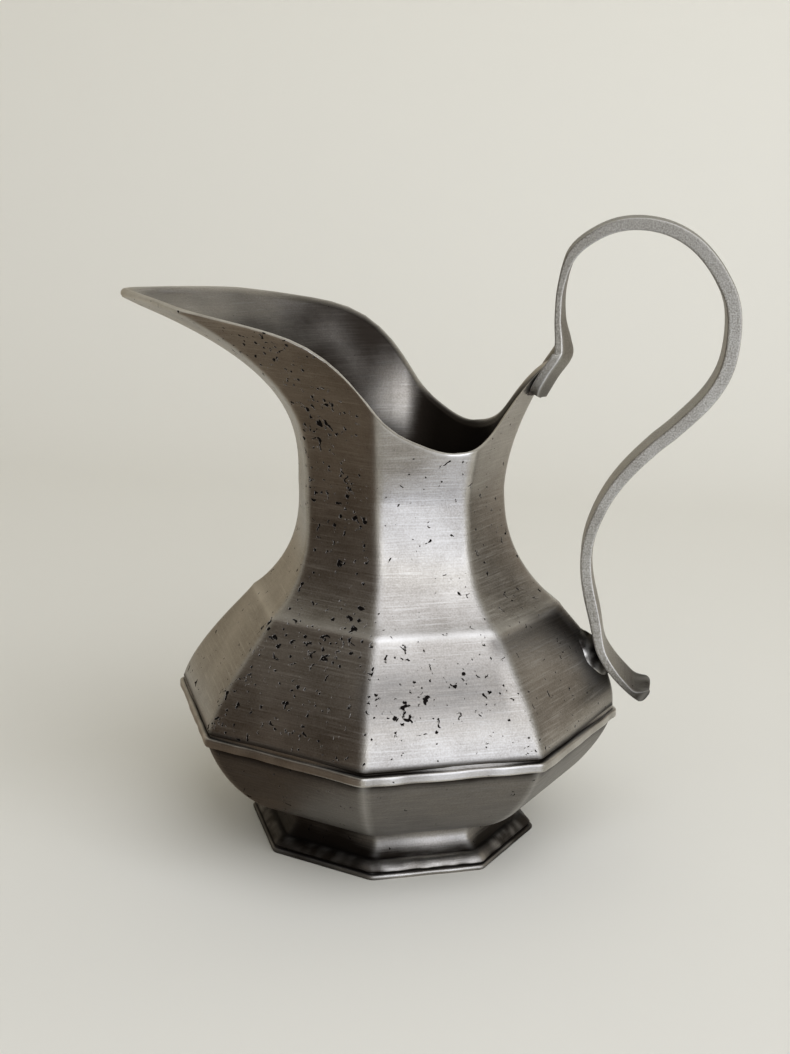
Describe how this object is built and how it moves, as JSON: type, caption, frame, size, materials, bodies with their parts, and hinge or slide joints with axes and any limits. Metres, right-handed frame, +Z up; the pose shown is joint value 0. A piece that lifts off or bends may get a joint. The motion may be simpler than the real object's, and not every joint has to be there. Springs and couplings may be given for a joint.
{
  "type": "pewter pitcher",
  "caption": "Octagonal cast pewter pitcher with a flared pouring spout, faceted belly with a belt, spreading foot and looped strap handle.",
  "frame": {"origin": "centre of the foot's underside, on the surface that the pitcher stands on", "axes": "+Z up, -X towards the spout, +X towards the handle, mirror plane XZ"},
  "size_m": [0.1805, 0.136, 0.19],
  "materials": {
    "body_pewter": "aged cast pewter, brushed, pitted, with dark patina in the recesses",
    "handle_pewter": "aged cast pewter, smooth faces and granular edges",
    "solder": "dark soft solder"
  },
  "bodies": {
    "root": {"upper_body": "body_pewter", "lower_bowl": "body_pewter", "foot": "body_pewter", "handle": "handle_pewter", "belly_seam_solder": "solder", "foot_seam_solder": "solder", "handle_upper_solder": "solder", "handle_lower_solder": "solder"}
  },
  "joints": []
}
